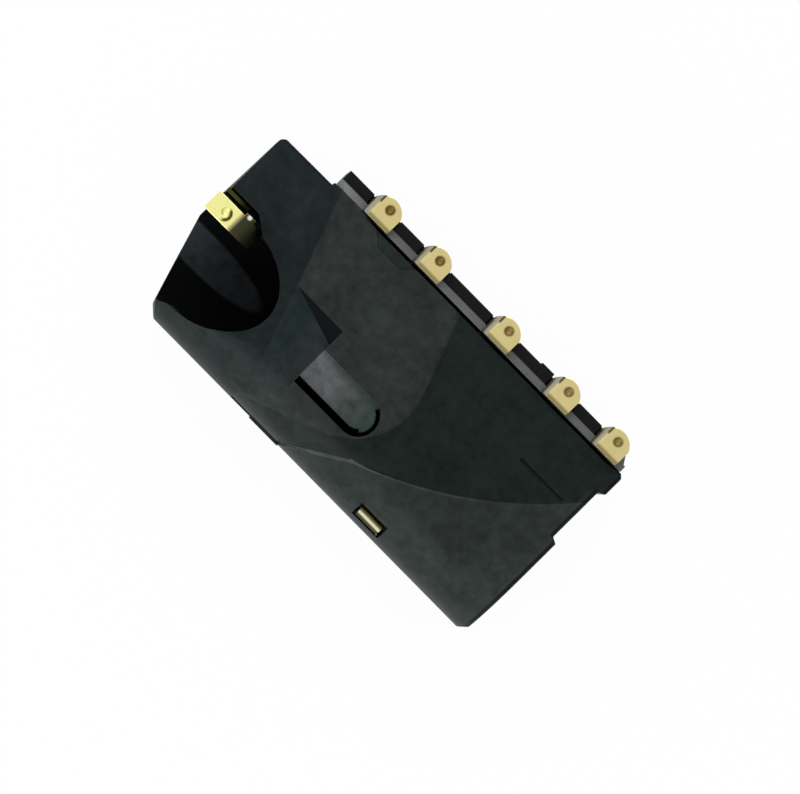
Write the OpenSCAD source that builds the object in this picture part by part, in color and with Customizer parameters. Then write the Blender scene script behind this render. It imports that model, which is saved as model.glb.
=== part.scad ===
// Socket for a 3.5 mm four-pole plug, with five spring feet along one side.
// X runs along the plug bore from the mouth to the rear, Y towards the feet, Z up.
// The origin is on the bore axis, in the plane of the front face.

/* [Bore] */
// Radius of the plug bore
bore_r = 1.8; // [1.76:0.01:1.86]
// Wall between the bore and the outside of the barrel
bore_wall = 0.45; // [0.42:0.01:0.6]
// Wall behind the closed end of the bore
end_wall = 0.5; // [0.4:0.05:0.8]

/* [Housing] */
// Length from the front face to the rear face
body_l = 14.6; // [14.5:0.1:16]
// Distance from the bore axis to the face with the feet
side_y = 4.47; // [4.3:0.01:4.8]
// Length of the head, which has no carrier beside it
head_l = 2.15; // [1.8:0.05:2.5]
// Step of the head's side, back from the face with the feet
head_inset = 0.1; // [0.05:0.01:0.3]
// Chamfer of the upright rear corner beside the feet
corner = 0.12; // [0.05:0.01:0.3]
// Chamfer of the upright rear corner beside the barrel
nick = 0.22; // [0.05:0.01:0.4]

/* [Mouth] */
// Radius of the slanting scoop that opens the mouth upwards
scoop_r = 1.75; // [1.7:0.01:1.78]
// Slant of the scoop from the bore axis, in degrees
scoop_tilt = 32; // [31:1:36]
// Turn of the scoop towards the feet, in degrees
scoop_turn = 6; // [0:0.5:7]
// Place along the bore where the scoop's axis leaves the top
scoop_x = 0.2; // [0.1:0.01:0.4]
// Place across the bore where the scoop's axis leaves the top
scoop_y = -0.03; // [-0.05:0.01:0.02]
// Distance from the bore axis at which the front lip starts to slant back
lip_y = 1.05; // [0.8:0.05:1.3]
// Angle of the slanting front lip, in degrees
lip_turn = 17; // [5:1:25]
// Length of the open front of the mouth, with upright sides
open_l = 0.95; // [0.9:0.05:1.1]
// Place along the bore where the crease of the sloping head crosses the axis
crease_x = 4.11; // [3.9:0.01:4.3]
// Angle of the crease across the top, in degrees
crease_turn = 20; // [5:1:25]
// Fall of the head towards the mouth, in degrees
head_fall = 12; // [9:1:12]

/* [Top] */
// Depth of the tray at its deep end, below the top
tray_depth = 0.24; // [0.1:0.01:0.28]
// Run of the tray's sloping side at the deep end, in plan
tray_run = 0.5; // [0.3:0.01:0.6]
// Place of the step that ends the tray and starts the slot
tray_end = 5.52; // [5.2:0.01:5.8]
// Edge of the tray towards the feet, from the bore axis
tray_y = 1.5; // [1.2:0.05:1.8]
// Length of the slot
slot_l = 2.78; // [2.2:0.01:3]
// Width of the slot
slot_w = 1.34; // [1.1:0.01:1.5]
// Middle of the slot, from the bore axis
slot_y = 0.06; // [0:0.01:0.15]
// Depth of the tongue in the slot
slot_depth = 0.3; // [0.22:0.01:0.35]
// Width of the slit between the tongue and the slot's side
slit_w = 0.24; // [0.15:0.01:0.3]
// Width of the slit round the far corner of the tongue's end
slit_end_w = 0.12; // [0.08:0.01:0.2]
// Depth of the polished band and edge relief
relief = 0.05; // [0.03:0.01:0.08]
// Depth of the notch in the rear face
notch_d = 0.21; // [0.1:0.01:0.3]
// Width of the notch in the rear face
notch_w = 1.91; // [1.4:0.01:2.2]
// Middle of the rear notch, from the bore axis
notch_y = 2.62; // [2.4:0.01:2.9]
// Length of the thin groove near the rear
groove_l = 1.76; // [1:0.01:2]
// Width and depth of the thin groove
groove_w = 0.09; // [0.05:0.01:0.15]

/* [Carrier] */
// Joint line between the housing and the carrier
joint_gap = 0.08; // [0.04:0.01:0.12]
// Reach of the carrier out from the housing's side
flange = 0.62; // [0.55:0.01:0.8]
// Width of the bevelled strip between the joint line and the teeth
strip_w = 0.17; // [0.14:0.01:0.28]
// Drop of the bevelled strip
strip_drop = 0.19; // [0.1:0.01:0.3]
// Height of the carrier's lower edge below the bore axis
rail_low = 1.4; // [1:0.1:1.9]
// Width of the gap that each foot stands in
gap_w = 1.15; // [1.1:0.01:1.3]
// Height of the floor of those gaps above the bore axis
gap_floor = 1.2; // [0.8:0.05:1.5]
// Reach of the carrier's bosses into the contact pockets
boss_l = 0.55; // [0.3:0.05:0.8]
// Clearance round each boss
boss_clear = 0.04; // [0.02:0.01:0.08]

/* [Contacts] */
// Thickness of the contact strip
metal_t = 0.15; // [0.1:0.01:0.18]
// Middle of the first foot, from the front face
foot_1 = 3.84; // [3.75:0.01:3.95]
// Pitch from the first foot to the second
pitch_12 = 2.14; // [2.1:0.01:2.3]
// Pitch from the second foot to the third
pitch_23 = 2.97; // [2.8:0.01:3.1]
// Pitch from the third foot to the fourth
pitch_34 = 2.57; // [2.5:0.01:2.7]
// Pitch from the fourth foot to the fifth
pitch_45 = 2.12; // [2.05:0.01:2.2]
// Width of a foot's pad
pad_w = 1.05; // [0.95:0.01:1.08]
// Height of the pads above the top of the housing
pad_rise = 0.2; // [0.1:0.01:0.3]
// Reach of a pad's tip out from the housing's side
pad_reach = 0.93; // [0.8:0.01:1]
// Radius of a pad's tip
tip_r = 0.58; // [0.56:0.01:0.7]
// Radius of the dimple in a pad
dimple_r = 0.16; // [0.12:0.01:0.2]
// Depth of the dimple in a pad
dimple_d = 0.09; // [0.05:0.01:0.1]
// Height of the contact plates inside the housing
plate_h = 1.1; // [0.9:0.05:1.2]
// Width of the spring beams
beam_w = 0.9; // [0.6:0.05:1]
// Reach of the beams' crests into the bore
crest_in = 0.2; // [0.1:0.01:0.22]
// Inside radius of the folds
fold_r = 0.1; // [0.08:0.01:0.14]
// Inside radius of the fold from a foot's riser to its pad
pad_fold_r = 0.12; // [0.08:0.01:0.13]
// Clearance round the contacts in their pockets
pocket_clear = 0.1; // [0.06:0.01:0.12]
// Width of the strap under the bore
strap_w = 0.9; // [0.7:0.05:1]
// Middle of the strap, from the middle of its foot towards the mouth
strap_back = 1.33; // [1.25:0.01:1.45]
// Turn round the barrel at which the strap runs on straight, up from the bore axis, in degrees
leg_turn = 5; // [4:1:7]
// Length of the strap's straight end
leg_run = 0.68; // [0.6:0.01:0.7]
// Top of the mouth flap above the bore axis
flap_z = 1.48; // [1.42:0.01:1.5]
// Inner edge of the mouth flap, from the bore axis
flap_y = 1.18; // [1.1:0.01:1.25]

/* [Hidden] */
$fn = 48;

plastic = "#25282a";
carrier_plastic = "#2b2b30";
gold = "#d9b95a";

// How far cutting shapes run past the faces that they cut
past = 1;

// Housing
barrel_r = bore_r + bore_wall;
bore_l = body_l - end_wall;
slot_x = tray_end;
slot_end_x = slot_x + slot_l - slot_w / 2;
tongue_z = barrel_r - slot_depth;
slit_turn = 48;
hook_turn = 150;
notch_flare = notch_d / 2;
lip_corner_y = -1.9;
lip_taper = [0.4, 0.2];
groove_gap = 0.8;
groove_x = body_l - groove_gap - groove_l;
nub_l = 1.2;
nub_h = 0.5;
nub_out = 0.04;
nub_x = tray_end - 0.1;

// Polished band between the middle panel's round nose and a long arc
nose_r = 2.5;
nose = [tray_end + 0.65, tray_y - 0.3];
upper_lean = 22;
lower_lean = 20;
long_r = 13.32;
long_mid = [crease_x - 0.13, side_y + 7];
tail_x = nose[0] + nose_r - 0.11;
tail_y = long_mid[1] - sqrt(long_r * long_r - pow(tail_x - long_mid[0], 2));
tail_run = 3.6;
tail_foot = [tail_x - tail_run, -barrel_r - past];
side_tuck = 0.99;
tail_over = 0.2;

// Relief at the edge between the first two feet
edge_relief_w = 1.9;
edge_relief_in = 0.47;

// Carrier
rail_y = side_y + joint_gap;
rail_out = side_y + flange;
strip_z = barrel_r - joint_gap;
tooth_y = rail_y + strip_w;
tooth_z = strip_z - strip_drop;
tooth_edge = 0.05;
front_edge = 0.1;
rail_front = head_l + 0.09;
rail_end_past = 0.02;
vestige_l = 0.5;
vestige_out = 0.06;

// Feet
feet = [foot_1, foot_1 + pitch_12, foot_1 + pitch_12 + pitch_23,
        foot_1 + pitch_12 + pitch_23 + pitch_34,
        foot_1 + pitch_12 + pitch_23 + pitch_34 + pitch_45];
pad_z = barrel_r + pad_rise;
pad_tip = side_y + pad_reach;
pad_y = rail_y;
riser_gap = 0.03;
riser_in = tooth_y + riser_gap;
riser_out = rail_out - riser_gap;
riser_top = pad_z - metal_t - pad_fold_r;
dimple_at = [0.08, -0.34];

// Spring beams, as runs and turns along the strip from the plate inwards
root_r = fold_r + metal_t;
beam_turn = 25;
sway_r = 0.4;
crest_r = 0.3;
root_run = 0.15;
slope_run = 0.4;
tail_end_run = 0.2;
beam_drop = root_r + (sway_r + crest_r) * (1 - cos(beam_turn)) + slope_run * sin(beam_turn);
beam_reach = root_r + root_run + (sway_r + 2 * crest_r) * sin(beam_turn)
    + (slope_run + tail_end_run) * cos(beam_turn) + metal_t;
beam_y = bore_r - crest_in + metal_t / 2 + beam_drop;

// Mouth contact
arm_wall = 0.28;
arm_y = bore_r + arm_wall;
flap_front = -0.1;
flap_root = 0.95;
flap_rear = 1.35;
flap_side = arm_y - metal_t / 2 - fold_r;
tongue_side = 1.88;
lip_r = 0.4;
lip_bend = 24;
lip_run = 0.22;
upright_front = 0.02;
lance_x = 0.48;
lance_r = 0.17;
lance_d = 0.08;

// Detect contact
strap_r = barrel_r - 0.2;
strap_x = feet[3] - strap_back;
strap_y0 = 2.4;
strap_y1 = 3.4;
skin_turn = 20;
hem_l = 0.1;
leg_clear = 0.02;
bump_r = 0.45;
bump_in = 0.1;
groove_clear = 0.025;

// Which way each beam runs from its plate: 1 to the rear, -1 to the mouth, 0 for none
beam_way = [0, 1, 1, 0, -1];

function plate_x(i) = feet[i] - pad_w / 2;
function pocket_x0(i) =
    plate_x(i) - pocket_clear - (beam_way[i] < 0 ? beam_reach - metal_t : 0);
function pocket_x1(i) =
    plate_x(i) + metal_t + pocket_clear + (beam_way[i] > 0 ? beam_reach - metal_t : 0);
pocket_h = plate_h + 2 * pocket_clear;
pocket_y = bore_r * 0.7;

// Box between two opposite corners
module span(low, high) {
    translate(low)
        cube(high - low);
}

// Outline in Y and Z, drawn out along X
module along_x(x0, l) {
    translate([x0, 0, 0])
        rotate([90, 0, 90])
            linear_extrude(l)
                children();
}

// Strip laid along X, then through a list of [run, 0] straights and [radius, turn] bends in plan
module bent_strip(path, w, i = 0) {
    if (i < len(path)) {
        run = path[i][0];
        turn = path[i][1];
        if (turn == 0) {
            translate([0, -metal_t / 2, -w / 2])
                cube([run, metal_t, w]);
            translate([run, 0, 0])
                bent_strip(path, w, i + 1);
        } else {
            translate([0, sign(turn) * run, 0])
                rotate([0, 0, turn > 0 ? -90 : 90 + turn])
                    rotate_extrude(angle = abs(turn))
                        translate([run - metal_t / 2, -w / 2])
                            square([metal_t, w]);
            translate([run * sin(abs(turn)), sign(turn) * run * (1 - cos(turn)), 0])
                rotate([0, 0, turn])
                    bent_strip(path, w, i + 1);
        }
    }
}

// Profile of radius and length along X, swept round the bore axis between two angles from +Y
module round_barrel(x0, l, from, to) {
    translate([x0, 0, 0])
        rotate([90, 0, 90])
            rotate([0, 0, from])
                rotate_extrude(angle = to - from)
                    children();
}

// Round barrel and square side of the housing, less a skin of the given depth
module body_form(skin) {
    translate([-past, 0, 0])
        rotate([0, 90, 0])
            rotate([0, 0, 180])
                rotate_extrude(angle = 180)
                    square([barrel_r - skin, body_l + 2 * past]);
    span([-past, 0, -barrel_r + skin], [body_l + past, side_y + past, barrel_r - skin]);
}

// Plan of the housing, with the slanting lip, the rear notch and the corners
module plan_outline() {
    low = -barrel_r - past;
    corner_x = (lip_y - lip_corner_y) * tan(lip_turn);
    polygon([
        [0, lip_y],
        [corner_x, lip_corner_y],
        [corner_x + lip_corner_y - low, low],
        [body_l - nick - past, low],
        [body_l, -barrel_r + nick],
        [body_l, notch_y - notch_w / 2 - notch_flare],
        [body_l - notch_d, notch_y - notch_w / 2],
        [body_l - notch_d, notch_y + notch_w / 2],
        [body_l, notch_y + notch_w / 2 + notch_flare],
        [body_l, side_y - corner],
        [body_l - corner, side_y],
        [head_l, side_y],
        [head_l, side_y - head_inset],
        [0, side_y - head_inset]
    ]);
}

// Space in front of the crease and above the sloping head
module head_slope() {
    translate([crease_x, 0, barrel_r])
        rotate([0, 0, crease_turn])
            rotate([0, -head_fall, 0])
                span([-body_l, -body_l, 0], [0, body_l, past]);
}

// Bore, slanting scoop and open front of the mouth
module plug_way() {
    translate([-past, 0, 0])
        rotate([0, 90, 0])
            rotate([0, 0, -90])
                rotate_extrude(angle = 180)
                    square([bore_r, past + open_l]);
    span([-past, -bore_r, 0], [open_l, bore_r, barrel_r + past]);
    translate([open_l, 0, 0])
        rotate([0, 90, 0])
            cylinder(r = bore_r, h = bore_l - open_l);
    linear_extrude(barrel_r + past)
        polygon([
            [open_l - lip_taper[0], 0],
            [open_l - lip_taper[0], -bore_r],
            [open_l, -bore_r],
            [open_l + lip_taper[0], -bore_r + lip_taper[1]],
            [open_l + lip_taper[0], 0]
        ]);
    translate([scoop_x, scoop_y, barrel_r])
        rotate([0, 90 + scoop_tilt, scoop_turn])
            translate([0, 0, -3 * scoop_r])
                cylinder(r = scoop_r, h = 5.2 * scoop_r);
}

// Shallow tray: its floor falls from the crease, its side slopes, and an upright step ends it
module tray() {
    side_fall = tray_depth / tray_run;
    floor_fall = tray_depth / (tray_end - crease_x);
    intersection() {
        along_x(0, tray_end)
            polygon([
                [tray_y - body_l, barrel_r - body_l * side_fall],
                [tray_y + body_l, barrel_r + body_l * side_fall],
                [tray_y - body_l, barrel_r + body_l * side_fall]
            ]);
        translate([crease_x, 0, 0])
            rotate([90, 0, crease_turn])
                translate([0, 0, -body_l])
                    linear_extrude(2 * body_l)
                        polygon([
                            [-body_l, barrel_r + body_l * floor_fall],
                            [body_l, barrel_r - body_l * floor_fall],
                            [body_l, barrel_r + body_l * floor_fall]
                        ]);
    }
}

// Slot with a square front and round end, and the slit beside its tongue
module slot() {
    top = barrel_r + past;
    slit_low = bore_r / 2;
    span([slot_x, slot_y - slot_w / 2, tongue_z], [slot_end_x, slot_y + slot_w / 2, top]);
    translate([slot_end_x, slot_y, tongue_z])
        cylinder(r = slot_w / 2, h = top - tongue_z);
    span([slot_x + slit_w, slot_y - slot_w / 2, slit_low],
         [slot_end_x, slot_y - slot_w / 2 + slit_w, top]);
    translate([slot_end_x, slot_y, slit_low])
        rotate([0, 0, -90]) {
            rotate_extrude(angle = slit_turn)
                translate([slot_w / 2 - slit_w, 0])
                    square([slit_w, top - slit_low]);
            rotate_extrude(angle = hook_turn)
                translate([slot_w / 2 - slit_end_w, 0])
                    square([slit_end_w, top - slit_low]);
        }
}

// Middle panel with a round nose, in plan: its straight sides start just inside the nose's circle
module panel_outline() {
    upper = nose + side_tuck * nose_r * [cos(upper_lean), sin(upper_lean)];
    lower = nose + side_tuck * nose_r * [sin(lower_lean), -cos(lower_lean)];
    translate(nose)
        circle(r = nose_r);
    polygon([
        nose,
        lower,
        lower - body_l * [cos(lower_lean), sin(lower_lean)],
        [-past, side_y + past],
        upper + body_l * [-sin(upper_lean), cos(upper_lean)],
        upper
    ]);
}

// Polished band behind the panel, and the small relief at the edge, in plan
module relief_outline() {
    difference() {
        union() {
            intersection() {
                translate(long_mid)
                    circle(r = long_r, $fn = 180);
                translate([nose[0], -barrel_r - past])
                    square([body_l, barrel_r + side_y + 2 * past]);
            }
            polygon([
                [tail_x, tail_y] + tail_over * ([tail_x, tail_y] - tail_foot),
                nose,
                [crease_x, -barrel_r - past],
                tail_foot
            ]);
        }
        panel_outline();
    }
    edge_x = (feet[0] + feet[1]) / 2;
    polygon([
        [edge_x - edge_relief_w / 2, side_y + past / 10],
        [edge_x - edge_relief_w / 4, side_y - edge_relief_in],
        [edge_x + edge_relief_w / 4, side_y - edge_relief_in],
        [edge_x + edge_relief_w / 2, side_y + past / 10]
    ]);
}

// Skin taken off the top inside the relief's outline
module top_relief() {
    difference() {
        linear_extrude(barrel_r + past)
            relief_outline();
        body_form(relief);
    }
}

// Pockets that let the contacts through to the bore
module contact_pockets() {
    for (i = [0 : len(feet) - 1])
        span([pocket_x0(i), pocket_y, -pocket_h / 2],
             [pocket_x1(i), side_y + past, pocket_h / 2]);
}

// Room for the mouth contact's arm, upright and flap
module mouth_contact_room() {
    back = arm_y + metal_t / 2 + pocket_clear / 2;
    low = -beam_w / 2 - pocket_clear;
    rear = flap_rear + lip_r + pocket_clear / 2;
    span([flap_root - pocket_clear, pocket_y, low], [rear, back, barrel_r + past]);
    span([-past, arm_y - metal_t, beam_w / 2 - pocket_clear], [rear, back, barrel_r + past]);
    span([-past, pocket_y, flap_z - metal_t - pocket_clear / 2], [rear, back, barrel_r + past]);
    span([flap_root, pocket_y, low], [pocket_x1(0), back, -low]);
}

// Place at the upper end of the strap's bend: Y runs inwards and Z on along the strap
module at_leg() {
    rotate([-leg_turn, 0, 0])
        translate([0, -strap_r, 0])
            children();
}

// Groove under the barrel for the strap, its hidden run in the wall, and the window over its far end
module strap_room() {
    x0 = strap_x - strap_w / 2 - pocket_clear;
    x1 = strap_x + strap_w / 2 + pocket_clear;
    inner = strap_r - metal_t / 2 - groove_clear;
    outer = strap_r + metal_t / 2 + groove_clear;
    leg_half = metal_t / 2 + groove_clear + leg_clear;
    span([x0, -groove_clear, -barrel_r - past], [x1, strap_y1 + pocket_clear, -inner]);
    span([x0, strap_y0 - pocket_clear, -barrel_r - past],
         [pocket_x1(3), strap_y1 + pocket_clear, -inner]);
    span([pocket_x0(3), strap_y0 - pocket_clear, -barrel_r - past],
         [pocket_x1(3), strap_y1 + pocket_clear, 0]);
    round_barrel(x0, x1 - x0, 180 + skin_turn, 270)
        translate([inner, 0])
            square([barrel_r + past - inner, x1 - x0]);
    round_barrel(x0, x1 - x0, 180 - leg_turn, 180 + skin_turn)
        translate([inner, 0])
            square([outer - inner, x1 - x0]);
    at_leg() {
        span([x0, -leg_half, -leg_clear], [x1, leg_half, leg_run + past]);
        span([x0, -leg_half, leg_run - hem_l - pocket_clear / 2], [x1, leg_half + metal_t, leg_run + past]);
    }
    translate([strap_x, 0, 0])
        rotate([90, 0, 0])
            cylinder(r = bump_r, h = inner + groove_clear);
}

module housing() {
    color(plastic)
        difference() {
            union() {
                intersection() {
                    body_form(0);
                    translate([0, 0, -barrel_r - past])
                        linear_extrude(2 * (barrel_r + past))
                            plan_outline();
                }
                span([nub_x, -barrel_r - nub_out, -nub_h / 2],
                     [nub_x + nub_l, -bore_r - bore_wall / 2, nub_h / 2]);
            }
            head_slope();
            plug_way();
            tray();
            slot();
            top_relief();
            contact_pockets();
            mouth_contact_room();
            strap_room();
            span([groove_x, notch_y - groove_w / 2, barrel_r - groove_w - relief],
                 [groove_x + groove_l, notch_y + groove_w / 2, barrel_r + past]);
        }
}

// Upright plate of a contact, from its inner end to the riser that carries the pad
module contact_plate(i, inner_y) {
    along_x(plate_x(i), metal_t)
        polygon([
            [inner_y, -plate_h / 2],
            [riser_out, -plate_h / 2],
            [riser_out, riser_top],
            [riser_in, riser_top],
            [riser_in, plate_h / 2],
            [inner_y, plate_h / 2]
        ]);
}

// Pad folded over from the riser, with a round tip and a dimple
module foot_pad(i) {
    l = pad_tip - pad_y;
    difference() {
        intersection() {
            union() {
                translate([plate_x(i) + metal_t + pad_fold_r, pad_tip, riser_top])
                    rotate([90, 0, 0])
                        rotate([0, 0, 90])
                            rotate_extrude(angle = 90)
                                translate([pad_fold_r, 0])
                                    square([metal_t, l]);
                span([plate_x(i) + metal_t + pad_fold_r, pad_y, pad_z - metal_t],
                     [plate_x(i) + pad_w, pad_tip, pad_z]);
            }
            translate([feet[i], pad_tip - tip_r, riser_top - past])
                cylinder(r = tip_r, h = 2 * past);
        }
        translate([feet[i] + dimple_at[0], pad_tip + dimple_at[1], pad_z - dimple_d + dimple_r])
            sphere(r = dimple_r);
    }
}

// Beam from the inner end of a plate to its crest in the bore
module spring_beam(i) {
    turn = beam_way[i];
    translate([plate_x(i) + metal_t / 2, beam_y, 0])
        rotate([0, 0, -90])
            bent_strip([
                [root_r, turn * 90],
                [root_run, 0],
                [sway_r, -turn * beam_turn],
                [slope_run, 0],
                [crest_r, turn * 2 * beam_turn],
                [tail_end_run, 0]
            ], beam_w);
}

// Contact with a foot outside and a beam that presses on the plug
module spring_contact(i) {
    color(gold)
        union() {
            contact_plate(i, beam_y);
            foot_pad(i);
            spring_beam(i);
        }
}

// Flap in the mouth: root, front tongue with its dimple, and the lip that turns down at the rear
module mouth_flap() {
    root_l = flap_rear - flap_root;
    under = flap_z - metal_t;
    difference() {
        union() {
            span([flap_root, flap_y, under], [flap_rear, flap_side, flap_z]);
            span([flap_front, flap_y, under], [flap_root, tongue_side, flap_z]);
        }
        translate([lance_x, (flap_y + tongue_side) / 2, flap_z - lance_d + lance_r])
            sphere(r = lance_r);
    }
    translate([flap_root, flap_side, under - fold_r])
        rotate([90, 0, 90])
            rotate_extrude(angle = 90)
                translate([fold_r, 0])
                    square([metal_t, root_l]);
    translate([flap_rear, (flap_y + tongue_side) / 2, flap_z - metal_t / 2])
        rotate([90, 0, 0])
            bent_strip([[lip_r, -lip_bend], [lip_run, 0]], tongue_side - flap_y);
}

module sleeve_contact() {
    arm_l = plate_x(0) + metal_t / 2 - root_r - flap_root;
    color(gold)
        union() {
            contact_plate(0, arm_y + root_r);
            foot_pad(0);
            translate([plate_x(0) + metal_t / 2, arm_y + root_r, 0])
                rotate([0, 0, -90])
                    bent_strip([[root_r, -90], [arm_l, 0]], beam_w);
            span([flap_root, arm_y - metal_t / 2, beam_w / 2],
                 [flap_rear, arm_y + metal_t / 2, flap_z - metal_t - fold_r]);
            span([upright_front, arm_y - metal_t / 2, beam_w / 2],
                 [flap_root, arm_y + metal_t / 2, flap_z - metal_t]);
            mouth_flap();
        }
}

module detect_contact() {
    low = -strap_r - metal_t / 2;
    high = -strap_r + metal_t / 2;
    x0 = strap_x - strap_w / 2;
    x1 = strap_x + strap_w / 2;
    color(gold)
        union() {
            contact_plate(3, strap_y0);
            foot_pad(3);
            span([plate_x(3), strap_y0, low], [plate_x(3) + metal_t, strap_y1, -plate_h / 2]);
            span([x0, strap_y0, low], [plate_x(3) + metal_t, strap_y1, high]);
            span([x0, 0, low], [x1, strap_y1, high]);
            round_barrel(x0, strap_w, 180 - leg_turn, 270)
                translate([strap_r - metal_t / 2, 0])
                    square([metal_t, strap_w]);
            at_leg() {
                span([x0, -metal_t / 2, 0], [x1, metal_t / 2, leg_run]);
                span([x0, -metal_t / 2, leg_run - hem_l], [x1, 1.5 * metal_t, leg_run]);
                translate([x0, metal_t / 2, leg_run])
                    rotate([90, 0, 90])
                        rotate_extrude(angle = 180)
                            square([metal_t, strap_w]);
            }
            intersection() {
                translate([strap_x, -bore_r + bump_in - bump_r, 0])
                    sphere(r = bump_r);
                span([x0, -strap_r, -bump_r], [x1, 0, bump_r]);
            }
        }
}

module contact_carrier() {
    rail_end = feet[4] + pad_w / 2 + rail_end_past;
    mid = (rail_y + tooth_y) / 2;
    color(carrier_plastic)
        difference() {
            union() {
                along_x(rail_front, rail_end - rail_front)
                    polygon([
                        [rail_y, -rail_low],
                        [rail_out, -rail_low],
                        [rail_out, tooth_z - tooth_edge],
                        [rail_out - tooth_edge, tooth_z],
                        [tooth_y, tooth_z],
                        [rail_y, strip_z]
                    ]);
                for (i = [0 : len(feet) - 1])
                    span([pocket_x0(i) + boss_clear, side_y - boss_l, -pocket_h / 2 + boss_clear],
                         [pocket_x1(i) - boss_clear, mid, pocket_h / 2 - boss_clear]);
                span([feet[3] - gap_w / 2 - vestige_l, mid, gap_floor],
                     [feet[3] - gap_w / 2, rail_out + vestige_out, tooth_z - tooth_edge]);
            }
            for (i = [0 : len(feet) - 1]) {
                last = i == len(feet) - 1;
                span([feet[i] - gap_w / 2, tooth_y, gap_floor],
                     [feet[i] + gap_w / 2 + (last ? past : 0), rail_out + past, barrel_r + past]);
                contact_plate(i, bore_r);
            }
            translate([rail_front, rail_y - past, tooth_z - front_edge])
                rotate([0, -45, 0])
                    span([-past, 0, 0], [past, flange + 2 * past, past]);
        }
}

module ring_two_contact() { spring_contact(1); }
module ring_one_contact() { spring_contact(2); }
module tip_contact() { spring_contact(4); }

housing();
contact_carrier();
sleeve_contact();
ring_two_contact();
ring_one_contact();
detect_contact();
tip_contact();
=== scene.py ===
"""Looks of a moulded audio jack socket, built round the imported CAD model. Lengths are in millimetres."""

import math

import bmesh
import bpy
from mathutils import Matrix, Vector


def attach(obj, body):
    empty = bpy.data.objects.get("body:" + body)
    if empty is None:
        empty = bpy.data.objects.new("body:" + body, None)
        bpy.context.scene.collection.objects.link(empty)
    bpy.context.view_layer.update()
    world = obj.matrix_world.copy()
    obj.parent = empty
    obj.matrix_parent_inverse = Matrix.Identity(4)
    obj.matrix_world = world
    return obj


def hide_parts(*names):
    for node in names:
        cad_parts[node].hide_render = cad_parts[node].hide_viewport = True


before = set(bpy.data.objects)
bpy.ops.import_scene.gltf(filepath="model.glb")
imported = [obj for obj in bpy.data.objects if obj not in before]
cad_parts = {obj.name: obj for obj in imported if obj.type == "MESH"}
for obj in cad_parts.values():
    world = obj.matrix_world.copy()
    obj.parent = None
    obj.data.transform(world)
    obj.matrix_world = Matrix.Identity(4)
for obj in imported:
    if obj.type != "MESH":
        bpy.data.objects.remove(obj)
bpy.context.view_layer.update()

MM = 0.001

# Sizes and places on the part, from its source where that has them
BORE_R = 1.8
BORE_END = 14.2
BARREL_R = 2.25
SIDE_Y = 4.47
CREASE_X = 4.11
CREASE_TURN = math.radians(20)
TRAY_END = 5.52
TRAY_Y = 1.5
SLOT_MID = 0.06
SLOT_HALF = 0.67
SLOT_END = 8.3
TONGUE_Z = 1.95
SIDE_FALL = 0.48
FLOOR_FALL = 0.17
PATCH = (1.0, 0.29)
PATCH_L = 2.42
PATCH_HALF = 0.6
NOSE = (6.17, 1.2)
NOSE_R = 2.5
UPPER_LEAN = math.radians(22)
LOWER_LEAN = math.radians(20)
LONG_MID = (3.98, 11.47)
LONG_R = 13.32
TAIL = (8.56, -1.04)
TAIL_SLOPE = 3.6 / 2.21
FEET = (3.84, 5.98, 8.95, 11.52, 13.64)
RELIEF_X = 0.5 * (FEET[0] + FEET[1])
RELIEF_HALF = 0.475
RELIEF_IN = 0.47
PAD_Y = 4.55
PAD_W = 1.05
PAD_Z = 2.45
DIMPLE_X = 0.08
DIMPLE_Y = 5.06
DIMPLE_R = 0.16
LANCE = (0.48, 1.53)
GLINT = (1.12, 1.92)
HEM_X = 9.6
HEM_Y = -1.915
WINDOW_X = 10.19
WINDOW_HALF = 0.52
STRAP_WALL = 9.64
STRIP_END = 14.185
STRIP_Y = 4.725
SLIT_W = 0.24
HEAD_SIDE_Y = 4.37
HEAD_SLOPE = math.radians(12)
FLAP_ROOM = (1.8, 2.205)
REAR_X = 14.6
NOTCH_IN = 0.21
NOTCH_Y = 2.62
NOTCH_HALF = 1.01

# Small changes of shape that only the copies shown here have
HEAD_BACK = 0.07
HEAD_BEVEL = 0.15
STRAP_SHIFT = 0.08
STRIP_REACH = 0.24
SLIT_REACH = 0.21
FLAP_FILL = 0.6
CARRIER_GAP = 0.008
FOOT_GAP = 0.015
JOINT_FROM = 3.4
JOINT_TO = 13.95
JOINT_Y = 4.37
NEAR = 0.003

# Rounding of sharp edges, and the angle in degrees up to which faces shade smoothly
HOUSING_ROUND = 0.025
HOUSING_CRISP = 10.5
PART_ROUND = 0.02
PART_CRISP = 20

RIM_R = 0.15
RIM_WIRE = 0.018
RIM_SIDES = 24

# Camera, fitted to the part's outline in the photo
CAMERA_RIGHT = (0.70107, 0.71127, 0.0509)
CAMERA_BACK = (-0.0315, -0.04043, 0.99869)
CAMERA_AT = (-0.3073, -9.5039, 269.8779)
CAMERA_LENS = 400


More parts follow.
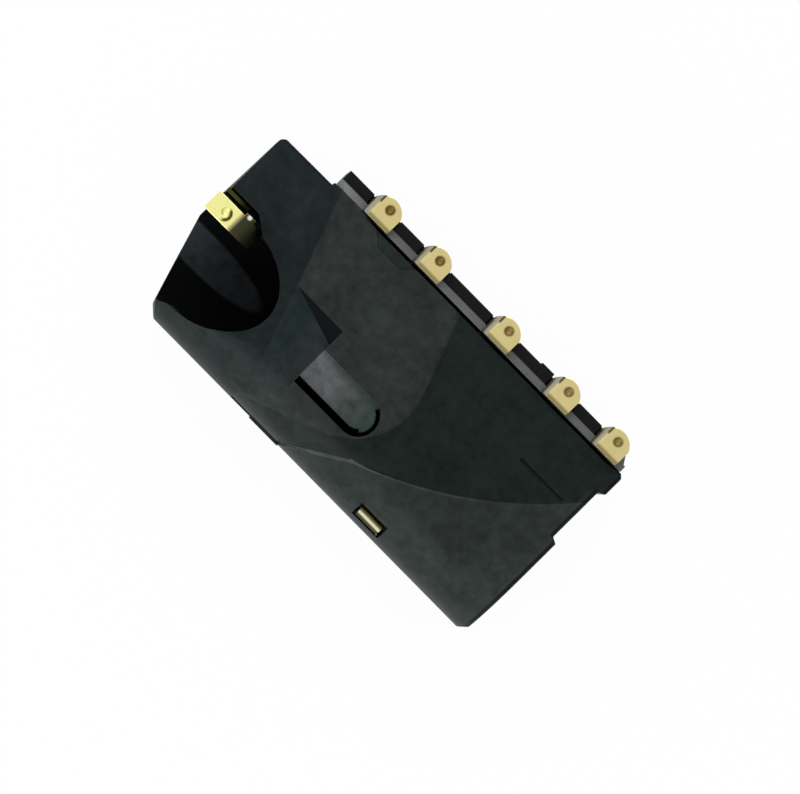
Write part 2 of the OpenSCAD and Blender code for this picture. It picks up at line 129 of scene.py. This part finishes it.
class Field:
    """A shader value. Arithmetic on it adds maths nodes to its tree."""

    def __init__(self, tree, socket):
        self.tree = tree
        self.socket = socket

    def make(self, kind, inputs=None, out=0, **settings):
        """Add a node of any kind, set it up, feed it, and wrap one of its outputs."""
        node = self.tree.nodes.new(kind)
        for name, value in settings.items():
            setattr(node, name, value)
        for key, value in (inputs or {}).items():
            if isinstance(value, Field):
                self.tree.links.new(value.socket, node.inputs[key])
            else:
                node.inputs[key].default_value = value
        return Field(self.tree, node.outputs[out]) if node.outputs else None

    def calc(self, operation, *values):
        return self.make("ShaderNodeMath", dict(enumerate(values)), operation=operation)

    def __add__(self, other):
        return self.calc("ADD", self, other)

    def __radd__(self, other):
        return self.calc("ADD", other, self)

    def __sub__(self, other):
        return self.calc("SUBTRACT", self, other)

    def __rsub__(self, other):
        return self.calc("SUBTRACT", other, self)

    def __mul__(self, other):
        return self.calc("MULTIPLY", self, other)

    def __rmul__(self, other):
        return self.calc("MULTIPLY", other, self)

    def __truediv__(self, other):
        return self.calc("DIVIDE", self, other)

    def __rtruediv__(self, other):
        return self.calc("DIVIDE", other, self)

    def __neg__(self):
        return self.calc("MULTIPLY", self, -1.0)

    def __abs__(self):
        return self.calc("ABSOLUTE", self)

    def least(self, other):
        return self.calc("MINIMUM", self, other)

    def most(self, other):
        return self.calc("MAXIMUM", self, other)

    def root(self):
        return self.calc("SQRT", self)

    def below(self, edge, soft):
        """1 where the value lies under the edge, falling smoothly to 0 over the given width."""
        return self.make(
            "ShaderNodeMapRange",
            {0: self, 1: edge - soft / 2, 2: edge + soft / 2, 3: 1.0, 4: 0.0},
            interpolation_type="SMOOTHSTEP",
        )

    def above(self, edge, soft):
        return 1.0 - self.below(edge, soft)


class Paint:
    """A new material with its shader and the surface position in millimetres."""

    def __init__(self, name):
        self.material = bpy.data.materials.new(name)
        self.material.use_nodes = True
        self.tree = self.material.node_tree
        self.shader = self.tree.nodes["Principled BSDF"]
        place = self.tree.nodes.new("ShaderNodeTexCoord")
        start = Field(self.tree, place.outputs["Object"])
        self.at = start.make("ShaderNodeVectorMath", {0: start, "Scale": 1 / MM}, operation="SCALE")
        parts = self.tree.nodes.new("ShaderNodeSeparateXYZ")
        self.tree.links.new(self.at.socket, parts.inputs[0])
        self.x, self.y, self.z = (Field(self.tree, s) for s in parts.outputs)

    def noise(self, scale, detail=3.0, rough=0.5, stretch=None):
        """Noise from 0 to 1, with a scale per millimetre, stretched along the axes if asked."""
        where = self.at
        if stretch:
            where = where.make("ShaderNodeVectorMath", {0: where, 1: stretch}, operation="MULTIPLY")
        return where.make(
            "ShaderNodeTexNoise", {"Vector": where, "Scale": scale, "Detail": detail, "Roughness": rough}
        )

    def mix(self, share, first, second):
        return self.at.make("ShaderNodeMix", {0: share, 6: first, 7: second}, out=2, data_type="RGBA")

    def multiply(self, first, second):
        return self.at.make(
            "ShaderNodeMix", {0: 1.0, 6: first, 7: second}, out=2, data_type="RGBA", blend_type="MULTIPLY"
        )

    def shade(self, colour, amount):
        """Multiply a colour by a grey value."""
        level = amount.make("ShaderNodeCombineColor", {0: amount, 1: amount, 2: amount})
        return self.multiply(colour, level)

    def feed(self, name, value):
        if isinstance(value, Field):
            self.tree.links.new(value.socket, self.shader.inputs[name])
        else:
            self.shader.inputs[name].default_value = value

    def bump(self, height, depth):
        """Feed a height from 0 to 1 to the normal, with its depth in millimetres."""
        inputs = {"Height": height, "Strength": 1.0, "Distance": depth * MM}
        self.feed("Normal", height.make("ShaderNodeBump", inputs))


def grey(level, tint=(1.0, 1.0, 1.0)):
    return (level * tint[0], level * tint[1], level * tint[2], 1.0)


def housing_paint():
    """Black glass-filled moulding: satin panels, a polished band between them, and painted shade in the
    bore.
    """
    p = Paint("housing_plastic")
    x, y, z = p.x, p.y, p.z

    # Distances from the outlines of the panel, the band and the relief at the contact side
    head = (x - CREASE_X) * math.cos(CREASE_TURN) + y * math.sin(CREASE_TURN)
    qx = x - NOSE[0]
    qy = y - NOSE[1]
    a = (qx * math.cos(UPPER_LEAN) + qy * math.sin(UPPER_LEAN)).most(0.0)
    b = (qx * math.sin(LOWER_LEAN) - qy * math.cos(LOWER_LEAN)).most(0.0)
    panel = (a * a + b * b).root() - NOSE_R
    lx = x - LONG_MID[0]
    ly = y - LONG_MID[1]
    arc = (lx * lx + ly * ly).root() - LONG_R
    tail = (x - TAIL[0] - (y - TAIL[1]) * TAIL_SLOPE) / math.hypot(1.0, TAIL_SLOPE)
    low = y.below(TAIL[1], 0.02)
    right = arc + low * (tail - arc)
    band = right.most(-panel).most(-head)
    inwards = y - SIDE_Y + RELIEF_IN
    edge = (abs(x - RELIEF_X) - RELIEF_HALF - inwards).most(-inwards)

    # Zones of the moulding, and the lines and paler places along them, with painted shade and painted
    # highlights
    on_top = z.above(0.0, 0.1)
    relief = edge.below(0.0, 0.05) * on_top
    dark = band.below(0.0, 0.05) * z.above(0.4, 0.3)
    # The band's dark tone is faded at its end on the barrel: painted light against the shade of the recess's
    # end
    dark = dark * (1.0 - 0.6 * y.below(-1.05, 0.5) * x.below(8.4, 0.8))
    front = head.below(0.0, 0.06)
    rear = right.above(0.0, 0.05)
    # Painted highlight: a thin lighter line along the edges of the band and of the relief
    rim = abs(band).below(0.035, 0.05).most(abs(edge).below(0.03, 0.05)) * on_top
    # Painted highlight along the band's lower step, over the shadow that the step casts
    step_highlight = abs(right - 0.02).below(0.025, 0.03) * head.above(2.6, 0.4) * on_top
    step_highlight = step_highlight * (0.22 * x.below(11.5, 3.0) + 0.6 * y.below(-0.85, 0.5))
    notch = REAR_X - NOTCH_IN * abs(y - NOTCH_Y).below(NOTCH_HALF, 0.1)
    # Painted shade: dark lines along the head's side edge and the rear edge, and in the gap at the joint
    # with the carrier
    outline = 0.5 * abs(y - 4.31).below(0.03, 0.03) * x.below(2.16, 0.03)
    outline = outline.most(abs(x - notch + 0.08).below(0.045, 0.03) * z.above(1.0, 1.4)) * on_top
    joint = y.above(JOINT_Y + 0.01, 0.02) * x.above(JOINT_FROM + 0.2, 0.3) * z.above(1.0, 0.1)
    outline = outline.most(joint)
    # Paler along the rear edge
    rear_edge_pale = (x - notch).above(-0.2, 0.25) * y.below(3.4, 1.0) * on_top
    # Painted light just inside the band's edge at the tail and on the barrel, where the step's shadow falls
    corner = y.below(-0.95, 0.3) * x.below(9.0, 0.3) * z.above(0.2, 0.1)
    shadow_lift = abs(right + 0.02).below(0.03, 0.02) * corner
    # Painted light on the barrel's flank, stronger behind the head
    barrel_light = y.below(-1.1, 0.9) * (0.5 + 0.3 * x.above(4.5, 2.0))
    end = x.above(13.2, 2.0) * y.below(1.5, 2.0)

    # Bore, tongue, tray and side window
    radius = (y * y + z * z).root()
    # Painted shade: the inside of the bore is painted almost black
    bore = radius.below(BORE_R + 0.08, 0.03) * x.above(-0.2, 0.1) * x.below(BORE_END, 0.05)
    # A painted patch of light on the floor of the bore, lens-shaped along its axis
    px = (x - PATCH[0]).most(0.0) / PATCH_L
    py = (y - PATCH[1]) / PATCH_HALF
    painted_light_patch = bore * (px * px + py * py).below(0.95, 0.3) * z.below(-1.0, 0.2)
    in_slot = x.above(TRAY_END, 0.03) * x.below(SLOT_END, 0.03)
    in_slot = in_slot * abs(y - SLOT_MID).below(SLOT_HALF - 0.01, 0.03)
    # Painted light on the tongue in the slot, fading towards its rear end
    tongue = in_slot * abs(z - TONGUE_Z).below(0.03, 0.02)
    tongue_light_fade = x.above(6.9, 2.6)
    in_tray = (BARREL_R - z).above(0.004, 0.004) * head.above(0.01, 0.02) * x.below(TRAY_END, 0.02)
    in_tray = in_tray * y.below(TRAY_Y + 0.5, 0.1)
    # Painted shade on the tray's side facet, which faces away from the light
    facet_shade = in_tray * ((TRAY_Y - y) * SIDE_FALL - head * FLOOR_FALL).below(0.0, 0.012) * y.above(0.7, 0.1)
    # Painted reflection of the gold hem on the window's inner wall
    window = abs(x - WINDOW_X).below(WINDOW_HALF, 0.03) * y.below(-1.6, 0.02) * y.above(-1.8, 0.04)
    window = window * z.above(0.6, 0.1) * z.below(1.48, 0.04)

    # Tones, from the large zones to the small marks
    mottle = p.noise(0.9, 4.0, 0.6)
    blotch = p.noise(3.2, 3.0, 0.6)
    grain = p.noise(22.0, 2.0, 0.5)
    base = p.mix(front, (0.0172, 0.0215, 0.0203, 1.0), (0.0078, 0.0120, 0.0130, 1.0))
    base = p.mix(front * y.below(2.6, 2.0) * y.above(-0.6, 1.0), base, (0.0062, 0.0098, 0.0104, 1.0))
    tray = p.mix(x.above(4.9, 1.2), (0.0090, 0.0156, 0.0172, 1.0), (0.0140, 0.0178, 0.0182, 1.0))
    base = p.mix(in_tray, base, tray)
    base = p.mix(rear, base, (0.0152, 0.0200, 0.0190, 1.0))
    base = p.mix(end * 0.6, base, (0.0200, 0.0262, 0.0240, 1.0))
    # Painted light on the barrel's flank
    base = p.mix(barrel_light, base, (0.0205, 0.0285, 0.0258, 1.0))
    base = p.mix(dark, base, (0.0056, 0.0098, 0.0088, 1.0))
    base = p.mix(relief, base, (0.0105, 0.0165, 0.0155, 1.0))
    # Paler along the rear edge
    base = p.mix(rear_edge_pale * 0.3, base, (0.034, 0.040, 0.028, 1.0))
    # Painted highlight along the band's and the relief's edges
    base = p.mix(rim * 0.4, base, (0.030, 0.034, 0.032, 1.0))
    # Painted highlight along the step
    base = p.mix(step_highlight, base, (0.062, 0.070, 0.068, 1.0))
    # Painted light in the step's shadow
    base = p.mix(shadow_lift * 0.8, base, (0.100, 0.115, 0.110, 1.0))
    # Painted shade along edges and in the joint's gap
    base = p.mix(outline * 0.85, base, (0.0018, 0.0026, 0.0026, 1.0))
    # Painted shade on the tray's side facet
    base = p.mix(facet_shade, base, (0.0022, 0.0024, 0.0038, 1.0))
    # Painted light on the tongue
    base = p.mix(tongue, base, p.mix(tongue_light_fade, grey(0.09, (0.97, 1.0, 1.03)), (0.028, 0.042, 0.036, 1.0)))
    # Painted reflection on the window's wall
    base = p.mix(window, base, (0.028, 0.027, 0.016, 1.0))
    # Painted shade in the bore
    base = p.mix(bore, base, (0.0004, 0.0008, 0.0007, 1.0))
    # Painted patch of light on the bore's floor
    base = p.mix(painted_light_patch, base, (0.0185, 0.0215, 0.0240, 1.0))
    base = p.shade(base, 1.4 * mottle + 1.3 * blotch - 0.35)
    tinge = p.mix(blotch, (1.14, 0.96, 1.08, 1.0), (0.86, 1.05, 0.93, 1.0))
    p.feed("Base Color", p.multiply(base, tinge))
    rough = 0.46 + 0.16 * (grain - 0.5) + 0.1 * (mottle - 0.5)
    p.feed("Roughness", rough - 0.05 * dark + 0.45 * bore + 0.3 * facet_shade)
    p.feed("Specular IOR Level", 0.08)
    p.bump(grain * 0.7 + mottle * 0.3, 0.004)
    return p.material


def carrier_paint():
    """The comb's moulding, a little bluer than the housing, with a paler bevelled strip as painted
    reflection.
    """
    p = Paint("carrier_plastic")
    # Painted reflection: the bevelled strip is paler, and palest near its front end
    strip = p.y.below(STRIP_Y, 0.03).most(p.x.above(STRIP_END + 0.01, 0.02)) * p.z.above(1.15, 0.08)
    grain = p.noise(24.0, 2.0, 0.5)
    mottle = p.noise(1.4, 4.0, 0.6)
    strip_front_light = p.x.below(2.9, 1.6)
    # Painted reflection on the strip, palest at the front
    base = p.mix(strip, (0.0040, 0.0048, 0.0043, 1.0), grey(0.108, (0.98, 1.0, 1.01)))
    base = p.mix(strip * strip_front_light, base, grey(0.17, (0.98, 1.0, 1.02)))
    base = p.shade(base, 0.65 + 0.5 * mottle + 0.2 * grain)
    p.feed("Base Color", base)
    p.feed("Roughness", 0.42 + 0.2 * (grain - 0.5))
    p.feed("Specular IOR Level", 0.08)
    p.bump(grain, 0.004)
    return p.material


def gold_paint():
    """Gold plating over a stamped strip: drawn grain, and painted shade in the dimples and at the feet's
    roots.
    """
    p = Paint("contact_gold")
    x, y, z = p.x, p.y, p.z

    # Feet: distances across each one, from its dimple and from its fold
    near = None
    side = None
    for foot in FEET:
        dx = abs(x - foot - DIMPLE_X)
        near = dx if near is None else near.least(dx)
        from_side = abs(x - foot + PAD_W / 2 - 0.1)
        side = from_side if side is None else side.least(from_side)
    dy = y - DIMPLE_Y
    from_dimple = (near * near + dy * dy).root()
    on_foot = z.above(2.2, 0.05)
    # Painted shade in the dimples and at the roots of the feet
    dimple = from_dimple.below(DIMPLE_R + 0.01, 0.06) * on_foot
    root = y.below(PAD_Y + 0.07, 0.1) * on_foot
    # Painted sheen on each foot's fold, with a painted dark reflection beside it
    fold = side.below(0.09, 0.05) * y.above(PAD_Y - 0.1, 0.05) * z.above(1.6, 0.1)
    crease_shade = abs(side - 0.1).below(0.035, 0.04) * y.above(5.04, 0.1) * on_foot

    # Flap in the mouth, the channel behind it, and the hem in the side window
    flap = y.below(1.97, 0.04)
    # Painted shade in the channel behind the flap, olive at the front and near black further in
    channel = y.above(1.97, 0.04) * y.below(2.4, 0.1) * x.below(2.2, 0.2)
    # The flap's flat front carries a painted highlight
    tongue = x.below(0.85, 0.1) * flap
    # Painted shade on the flap's rear part, darker further back where it runs into the bore
    inside = x.above(0.92, 0.2) * flap * x.below(2.2, 0.2)
    cx = x - LANCE[0]
    cy = y - LANCE[1] + 0.05
    # Painted shade in a crescent round the lance's dimple
    crescent_shade = abs((cx * cx + cy * cy).root() - 0.2).below(0.05, 0.05)
    crescent_shade = crescent_shade * x.above(LANCE[0] + 0.06, 0.14) * flap
    # Painted highlight: a bright spot at the corner of the flap
    gx = x - GLINT[0]
    gy = y - GLINT[1]
    glint = (gx * gx + gy * gy).root().below(0.07, 0.07)
    # Painted light on the hem: a bright crest, an inner side lightened against the window's shade, and a
    # dark outer side
    hem = x.above(HEM_X, 0.1) * x.below(HEM_X + 1.2, 0.1) * y.below(-1.5, 0.1) * z.above(0.3, 0.1)
    crest_highlight = abs(y - HEM_Y).below(0.045, 0.06)
    inner = y.above(HEM_Y, 0.05)

    # Tones, from the plating to the small marks
    mottle = p.noise(3.0, 3.0, 0.55)
    drawn = p.noise(9.0, 2.0, 0.5, stretch=(0.4, 3.0, 0.4))
    base = p.mix(mottle, grey(0.74, (1.0, 0.86, 0.4)), grey(0.62, (1.0, 0.84, 0.36)))
    # Painted shade in the dimples, less towards the rear feet, and at the roots of the feet
    base = p.mix(dimple * (0.9 - 0.14 * x.above(7.5, 5.0)), base, grey(0.17, (1.0, 0.62, 0.14)))
    base = p.mix(root * 0.9, base, grey(0.26, (1.0, 0.84, 0.38)))
    # Painted sheen on the fold and painted dark reflection beside it
    base = p.mix(fold * 0.85, base, grey(0.36, (1.0, 0.97, 0.8)))
    base = p.mix(crease_shade * 0.95, base, grey(0.05, (1.0, 0.75, 0.36)))
    # Painted highlight on the flap's flat front
    base = p.mix(tongue, base, grey(0.95, (1.0, 0.96, 0.38)))
    # Painted shade in a crescent round the lance
    base = p.mix(crescent_shade * 0.95, base, (0.030, 0.022, 0.003, 1.0))
    # Painted shade on the flap's rear part
    flap_shade = p.mix(x.above(1.36, 0.6), grey(0.045, (1.0, 1.05, 0.5)), grey(0.007, (1.0, 1.05, 0.6)))
    base = p.mix(inside, base, flap_shade)
    # Painted shade in the channel behind the flap
    channel_shade = p.mix(x.above(0.6, 0.4), (0.055, 0.064, 0.016, 1.0), (0.007, 0.009, 0.002, 1.0))
    base = p.mix(channel, base, channel_shade)
    # Painted highlight at the flap's corner
    base = p.mix(glint, base, grey(0.8, (0.95, 1.0, 0.8)))
    # Painted light and shade on the hem's sides and crest
    sides = p.mix(inner, grey(0.05, (1.0, 0.93, 0.4)), grey(0.4, (1.0, 0.88, 0.36)))
    base = p.mix(hem, base, p.mix(crest_highlight, sides, grey(0.85, (1.0, 0.98, 0.66))))
    p.feed("Base Color", base)
    p.feed("Metallic", 1.0 - 0.7 * hem * crest_highlight.most(inner))
    p.feed("Roughness", 0.3 + 0.14 * (drawn - 0.5) + 0.1 * (mottle - 0.5) + 0.3 * dimple + 0.1 * hem)
    p.bump(drawn * 0.7 + mottle * 0.3, 0.002)
    return p.material


def put(mesh, name):
    piece = bpy.data.objects.new(name, mesh)
    bpy.context.scene.collection.objects.link(piece)
    return piece


def near_dimple(point):
    """Whether a point lies on the rim or inside of a pressed dimple."""
    spots = [(foot + DIMPLE_X, DIMPLE_Y) for foot in FEET] + [LANCE]
    return any(math.hypot(point.x - x, point.y - y) < 0.2 for x, y in spots)


def even_normals(mesh, crisp):
    """Corner normals that average, round each vertex, only the faces within the crisp angle in degrees."""
    around = [[] for _ in mesh.vertices]
    for face in mesh.polygons:
        for vertex in face.vertices:
            around[vertex].append((face.normal.copy(), face.area))
    limit = math.cos(math.radians(crisp))
    normals = []
    for face in mesh.polygons:
        for vertex in face.vertices:
            total = face.normal * 1e-12
            for normal, area in around[vertex]:
                if normal.dot(face.normal) > limit:
                    total += normal * area
            normals.append(total.normalized())
    mesh.normals_split_custom_set(normals)


def roomy(edge, offset):
    """Whether an edge is sharp, with room beside it for rounding by the offset."""
    if len(edge.link_faces) != 2 or edge.calc_face_angle(0.0) < math.radians(28):
        return False
    if near_dimple((edge.verts[0].co + edge.verts[1].co) / (2 * MM)):
        return False
    return min(face.calc_area() for face in edge.link_faces) > 3.5 * offset * MM * edge.calc_length()


def cut_across(bm, x, faces):
    """Cut the given faces in the plane at x."""
    parts = {v for f in faces for v in f.verts} | {e for f in faces for e in f.edges} | set(faces)
    place = Vector((x, 0, 0)) * MM
    bmesh.ops.bisect_plane(bm, geom=list(parts), dist=1e-6 * MM, plane_co=place, plane_no=(1, 0, 0))


def fit_carrier(bm):
    """Draw the bevelled strip out to the rear corner of the housing, and the inner face up to its wall."""
    cut_across(bm, STRIP_END - 0.05, bm.faces)
    for vertex in bm.verts:
        x, y, z = vertex.co / MM
        if x > STRIP_END - 0.01 and y < STRIP_Y + 0.005 and z > 1.1:
            vertex.co.x += STRIP_REACH * MM
        if y < 4.6:
            vertex.co.y = (SIDE_Y + CARRIER_GAP) * MM


def fit_contact(bm):
    """Draw the inner ends of the feet up to the joint."""
    for vertex in bm.verts:
        _, y, z = vertex.co / MM
        if abs(y - PAD_Y) < NEAR and z > 2.1:
            vertex.co.y = (SIDE_Y + FOOT_GAP) * MM


def fit_housing(bm):
    """Fit the housing's walls to the photo and to the pieces beside them."""
    def at_joint(vertex):
        return vertex.co.y > 4.4 * MM and vertex.co.z > 2.1 * MM

    for place in (JOINT_FROM, JOINT_TO):
        cut_across(bm, place, [f for f in bm.faces if any(at_joint(v) for v in f.verts)])
    for vertex in bm.verts:
        x, y, z = vertex.co / MM
        # The front wall of the strap's hidden run comes up to the strap, so no light shows beside it
        if abs(x - STRAP_WALL) < NEAR and y < -1.6 and -0.7 < z < 0.19:
            vertex.co.x += STRAP_SHIFT * MM
        # The front of the head lies a little behind the mouth
        if abs(x) < NEAR and y > 2.2:
            vertex.co.x += HEAD_BACK * MM
        # The corner of the room beside the flap is filled on a slant, in the plane of the head
        if math.hypot(x - FLAP_ROOM[0], y - FLAP_ROOM[1]) < 0.005 and z > 1.9:
            vertex.co.x -= FLAP_FILL * MM
            vertex.co.z -= FLAP_FILL * math.cos(CREASE_TURN) * math.tan(HEAD_SLOPE) * MM
        # The slit starts near the front of the slot
        if abs(x - TRAY_END - SLIT_W) < NEAR and -0.63 < y < -0.35 and 1.5 < z < 1.97:
            vertex.co.x -= SLIT_REACH * MM
        # Behind the first foot, the wall at the joint leans inwards
        if at_joint(vertex) and JOINT_FROM + 0.05 < x < JOINT_TO + 0.05:
            vertex.co.y = min(y, JOINT_Y) * MM


def stands_at(edge, x, y):
    """Whether an edge stands upright at x and y."""
    return all(math.hypot(v.co.x - x * MM, v.co.y - y * MM) < 0.02 * MM for v in edge.verts)


def soft_copy(node, name, material, offset, crisp, corner=None, alter=None):
    """A copy of a CAD node with its flat faces joined, its sharp edges rounded off by the offset, and smooth
    shading up to the crisp angle. The corner is the x, y and size of an upright edge's bevel, and alter
    changes the shape first."""
    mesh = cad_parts[node].data.copy()
    mesh.name = name
    bm = bmesh.new()
    bm.from_mesh(mesh)
    bmesh.ops.remove_doubles(bm, verts=bm.verts, dist=1e-4 * MM)
    if alter:
        alter(bm)
    bmesh.ops.dissolve_limit(
        bm, angle_limit=math.radians(0.4), verts=bm.verts, edges=bm.edges, delimit={"NORMAL"}
    )
    rounds = []
    if corner:
        x, y, bevel = corner
        rounds.append((bevel, 0.35, lambda edge: stands_at(edge, x, y)))
    rounds.append((offset, 0.5, lambda edge: roomy(edge, offset)))
    for size, profile, pick in rounds:
        bmesh.ops.bevel(
            bm, geom=[e for e in bm.edges if pick(e)], offset=size * MM, offset_type="OFFSET",
            segments=2, profile=profile, affect="EDGES", clamp_overlap=False,
        )
    bmesh.ops.triangulate(bm, faces=[f for f in bm.faces if len(f.verts) > 4])
    bm.to_mesh(mesh)
    bm.free()
    mesh.materials.clear()
    mesh.materials.append(material)
    for face in mesh.polygons:
        face.use_smooth = True
        face.material_index = 0
    even_normals(mesh, crisp)
    piece = put(mesh, name)
    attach(piece, "root")
    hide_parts(node)
    return piece


def bake(piece):
    """Turn a piece's modifiers into its plain mesh."""
    depsgraph = bpy.context.evaluated_depsgraph_get()
    depsgraph.update()
    mesh = bpy.data.meshes.new_from_object(piece.evaluated_get(depsgraph), depsgraph=depsgraph)
    piece.modifiers.clear()
    old = piece.data
    piece.data = mesh
    mesh.name = piece.name
    bpy.data.meshes.remove(old)


def rim_tree(material):
    """Coined rims: a ring swept at the dimple of each foot, whose places are named inputs."""
    tree = bpy.data.node_groups.new("coined_rims", "GeometryNodeTree")
    tree.is_modifier = True
    face = tree.interface
    face.new_socket(name="Geometry", in_out="INPUT", socket_type="NodeSocketGeometry")
    for name in ["Ring radius", "Wire radius", "Ring sides"] + [f"Foot {i + 1}" for i in range(len(FEET))]:
        kind = "NodeSocketInt" if name == "Ring sides" else "NodeSocketFloat"
        face.new_socket(name=name, in_out="INPUT", socket_type=kind)
    face.new_socket(name="Across", in_out="INPUT", socket_type="NodeSocketFloat")
    face.new_socket(name="Height", in_out="INPUT", socket_type="NodeSocketFloat")
    face.new_socket(name="Geometry", in_out="OUTPUT", socket_type="NodeSocketGeometry")
    add = tree.nodes.new
    join = tree.links.new
    given = add("NodeGroupInput")
    result = add("NodeGroupOutput")
    line = add("GeometryNodeMeshLine")
    line.inputs["Count"].default_value = len(FEET)
    index = add("GeometryNodeInputIndex")
    pick = add("GeometryNodeIndexSwitch")
    pick.data_type = "FLOAT"
    while len(pick.index_switch_items) < len(FEET):
        pick.index_switch_items.new()
    join(index.outputs[0], pick.inputs[0])
    for i in range(len(FEET)):
        join(given.outputs[f"Foot {i + 1}"], pick.inputs[i + 1])
    where = add("ShaderNodeCombineXYZ")
    join(pick.outputs[0], where.inputs["X"])
    join(given.outputs["Across"], where.inputs["Y"])
    join(given.outputs["Height"], where.inputs["Z"])
    place = add("GeometryNodeSetPosition")
    join(line.outputs["Mesh"], place.inputs["Geometry"])
    join(where.outputs[0], place.inputs["Position"])
    ring = add("GeometryNodeCurvePrimitiveCircle")
    wire = add("GeometryNodeCurvePrimitiveCircle")
    wire.inputs["Resolution"].default_value = 10
    join(given.outputs["Ring radius"], ring.inputs["Radius"])
    join(given.outputs["Ring sides"], ring.inputs["Resolution"])
    join(given.outputs["Wire radius"], wire.inputs["Radius"])
    sweep = add("GeometryNodeCurveToMesh")
    join(ring.outputs[0], sweep.inputs["Curve"])
    join(wire.outputs[0], sweep.inputs["Profile Curve"])
    spread = add("GeometryNodeInstanceOnPoints")
    join(place.outputs[0], spread.inputs["Points"])
    join(sweep.outputs[0], spread.inputs["Instance"])
    real = add("GeometryNodeRealizeInstances")
    join(spread.outputs[0], real.inputs[0])
    dress = add("GeometryNodeSetMaterial")
    dress.inputs["Material"].default_value = material
    join(real.outputs[0], dress.inputs["Geometry"])
    join(dress.outputs[0], result.inputs[0])
    return tree


def coined_rims(material):
    """The rims as one piece on the body."""
    piece = put(bpy.data.meshes.new("coined_rims"), "coined_rims")
    tree = rim_tree(material)
    modifier = piece.modifiers.new("rims", "NODES")
    modifier.node_group = tree
    values = {
        "Ring radius": RIM_R * MM,
        "Wire radius": RIM_WIRE * MM,
        "Ring sides": RIM_SIDES,
        "Across": DIMPLE_Y * MM,
        "Height": (PAD_Z - RIM_WIRE) * MM,
    }
    values.update({f"Foot {i + 1}": (foot + DIMPLE_X) * MM for i, foot in enumerate(FEET)})
    for item in tree.interface.items_tree:
        if item.in_out == "INPUT" and item.name in values:
            modifier[item.identifier] = values[item.name]
    bake(piece)
    for face in piece.data.polygons:
        face.use_smooth = True
    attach(piece, "root")
    return piece


def studio():
    """A pale floor, soft lights and the camera over the part."""
    floor_mesh = bpy.data.meshes.new("floor")
    size = 0.6
    floor_mesh.from_pydata(
        [(-size, -size, 0), (size, -size, 0), (size, size, 0), (-size, size, 0)], [], [(0, 1, 2, 3)]
    )
    floor = put(floor_mesh, "floor")
    floor.location = (0, 0, (-BARREL_R - 0.01) * MM)
    pale = bpy.data.materials.new("floor_white")
    pale.use_nodes = True
    tree = pale.node_tree
    tree.nodes.clear()
    path = tree.nodes.new("ShaderNodeLightPath")
    seen = Field(tree, path.outputs["Is Camera Ray"])
    for ray in ("Is Glossy Ray", "Is Transmission Ray"):
        seen = seen.most(Field(tree, path.outputs[ray]))
    matt = seen.make("ShaderNodeBsdfDiffuse", {"Color": (0.8, 0.8, 0.8, 1)})
    white = seen.make("ShaderNodeEmission", {"Color": (1, 1, 1, 1), "Strength": 1.0})
    blend = seen.make("ShaderNodeMixShader", {0: seen * 0.96, 1: matt, 2: white})
    seen.make("ShaderNodeOutputMaterial", {"Surface": blend})
    floor_mesh.materials.append(pale)

    world = bpy.data.worlds.new("studio")
    bpy.context.scene.world = world
    world.use_nodes = True
    world.node_tree.nodes["Background"].inputs["Color"].default_value = (1, 1, 1, 1)
    world.node_tree.nodes["Background"].inputs["Strength"].default_value = 0.85

    middle = Vector((7.3, 1.4, 0)) * MM
    for name, offset, wide, power in (
        ("key", (-60, 90, 120), 90, 0.085),
        ("side", (-20, -150, 75), 120, 0.11),
    ):
        data = bpy.data.lights.new(name, "AREA")
        data.shape = "DISK"
        data.size = wide * MM
        data.energy = power
        light = bpy.data.objects.new(name, data)
        bpy.context.scene.collection.objects.link(light)
        light.location = middle + Vector(offset) * MM
        light.rotation_euler = (middle - light.location).to_track_quat("-Z", "Y").to_euler()

    data = bpy.data.cameras.new("camera")
    data.lens = CAMERA_LENS
    data.sensor_width = 36
    data.clip_start = 0.01
    data.clip_end = 10
    camera = bpy.data.objects.new("camera", data)
    bpy.context.scene.collection.objects.link(camera)
    right = Vector(CAMERA_RIGHT).normalized()
    back = Vector(CAMERA_BACK).normalized()
    up = back.cross(right).normalized()
    turn = Matrix((right, up, back)).transposed().to_4x4()
    turn.translation = Vector(CAMERA_AT) * MM
    camera.matrix_world = turn
    bpy.context.scene.camera = camera
    bpy.context.scene.view_settings.view_transform = "Standard"


housing_plastic = housing_paint()
carrier_plastic = carrier_paint()
gold = gold_paint()
head_corner = (HEAD_BACK, HEAD_SIDE_Y, HEAD_BEVEL)
shell = soft_copy(
    "housing", "housing_shell", housing_plastic, HOUSING_ROUND, HOUSING_CRISP, head_corner, fit_housing
)
comb = soft_copy(
    "contact_carrier", "carrier_comb", carrier_plastic, PART_ROUND, PART_CRISP, alter=fit_carrier
)
for contact in ("sleeve", "ring_two", "ring_one", "detect", "tip"):
    strip = soft_copy(
        f"{contact}_contact", f"{contact}_strip", gold, PART_ROUND, PART_CRISP, alter=fit_contact
    )
coined_rims(gold)
studio()
